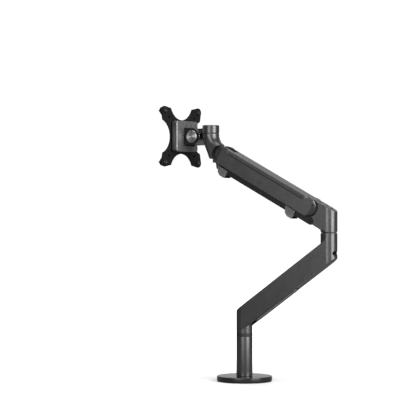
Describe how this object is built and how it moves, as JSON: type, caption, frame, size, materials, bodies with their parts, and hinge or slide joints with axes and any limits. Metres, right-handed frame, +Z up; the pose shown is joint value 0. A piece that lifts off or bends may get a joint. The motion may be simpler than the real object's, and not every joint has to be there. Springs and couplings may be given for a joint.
{
  "type": "monitor arm",
  "caption": "Desk-standing gas-spring monitor arm: round base and post, two folding arms, levelling head with tilt, swivel and rotation, and a VESA plate.",
  "frame": {"origin": "centre of the base's underside, on the post's axis", "axes": "+Z up along the post; the lower arm rises towards +X and the upper arm folds back over it towards -X, where the head is"},
  "size_m": [0.3568, 0.1168, 0.531],
  "materials": {
    "graphite": "satin graphite powder coat",
    "black_paint": "satin black paint",
    "silver": "satin machined aluminium",
    "steel": "zinc-plated steel",
    "nylon": "matte black nylon",
    "rubber": "matte rubber pad",
    "grey_plastic": "moulded grey plastic"
  },
  "bodies": {
    "base": {"base_pad": "rubber", "base_disc": "black_paint", "post_bolt": "steel", "post_plug": "steel", "post_tube": "graphite", "base_spindle": "steel", "post_ring": "nylon"},
    "lower_arm": {"lower_arm": "graphite", "base_bushing": "nylon", "base_friction_screw": "steel", "cable_cover": "grey_plastic", "cable_grommet": "nylon", "elbow_spindle": "steel", "elbow_washer": "nylon", "elbow_nut": "steel"},
    "elbow_bracket": {"elbow_bracket": "graphite", "elbow_bushing": "nylon", "lift_pin": "steel", "link_pin": "steel", "spring_seat": "steel", "lift_adjuster": "steel", "elbow_cap": "graphite"},
    "upper_arm": {"upper_shell": "graphite", "head_pin": "steel", "spring_pin": "steel", "spring_cylinder": "black_paint"},
    "spring_rod": {"spring_rod": "steel"},
    "lower_link": {"lower_link": "black_paint", "cable_clip_elbow": "grey_plastic", "cable_clip_head": "grey_plastic"},
    "head_bracket": {"head_bracket": "graphite", "link_head_pin": "steel"},
    "knuckle": {"knuckle": "graphite", "knuckle_spindle": "steel", "tilt_barrel": "silver"},
    "tilt_head": {"tilt_fork": "black_paint", "tilt_bushing": "nylon", "tilt_axle": "steel", "tilt_nut": "steel", "tilt_cap": "silver", "yoke": "silver", "rotation_hub": "steel", "hub_keeper": "steel", "hub_bolt": "steel", "hub_washer": "nylon"},
    "vesa_plate": {"vesa_plate": "black_paint", "vesa_screw_1": "steel", "vesa_screw_2": "steel", "vesa_screw_3": "steel", "vesa_screw_4": "steel"}
  },
  "joints": [
    {"name": "base_swivel", "type": "hinge", "parent": "base", "child": "lower_arm", "pos_m": [0, 0, 0.0922], "axis": [0, 0, 1], "range_deg": [-180, 180]},
    {"name": "elbow_swivel", "type": "hinge", "parent": "lower_arm", "child": "elbow_bracket", "pos_m": [0.175, 0, 0.286], "axis": [0, 0, 1], "range_deg": [-180, 180]},
    {"name": "arm_lift", "type": "hinge", "parent": "elbow_bracket", "child": "upper_arm", "pos_m": [0.142, 0, 0.3325], "axis": [0, 1, 0], "range_deg": [-60, 15]},
    {"name": "link_swing", "type": "hinge", "parent": "elbow_bracket", "child": "lower_link", "pos_m": [0.142, 0, 0.3075], "axis": [0, 1, 0], "range_deg": [-60, 15]},
    {"name": "head_level", "type": "hinge", "parent": "upper_arm", "child": "head_bracket", "pos_m": [-0.04333, 0, 0.43523], "axis": [0, 1, 0], "range_deg": [-15, 60]},
    {"name": "spring_stroke", "type": "slide", "parent": "upper_arm", "child": "spring_rod", "axis": [0.8494, 0, -0.5277], "range_m": [-0.0145, 0.004]},
    {"name": "head_swivel", "type": "hinge", "parent": "head_bracket", "child": "knuckle", "pos_m": [-0.07233, 0, 0.4773], "axis": [0, 0, 1], "range_deg": [-77, 103]},
    {"name": "head_tilt", "type": "hinge", "parent": "knuckle", "child": "tilt_head", "pos_m": [-0.10701, -0.00174, 0.472], "axis": [0.225, 0.9744, 0], "range_deg": [-30, 70]},
    {"name": "plate_rotate", "type": "hinge", "parent": "tilt_head", "child": "vesa_plate", "pos_m": [-0.13878, 0.00559, 0.472], "axis": [0.9744, -0.225, 0], "continuous": true}
  ],
  "couplings": [
    {"joint": "link_swing", "follows": "arm_lift", "ratio": 1},
    {"joint": "head_level", "follows": "arm_lift", "ratio": -1},
    {"joint": "spring_stroke", "follows": "arm_lift", "m_per_rad": 0.0129}
  ]
}
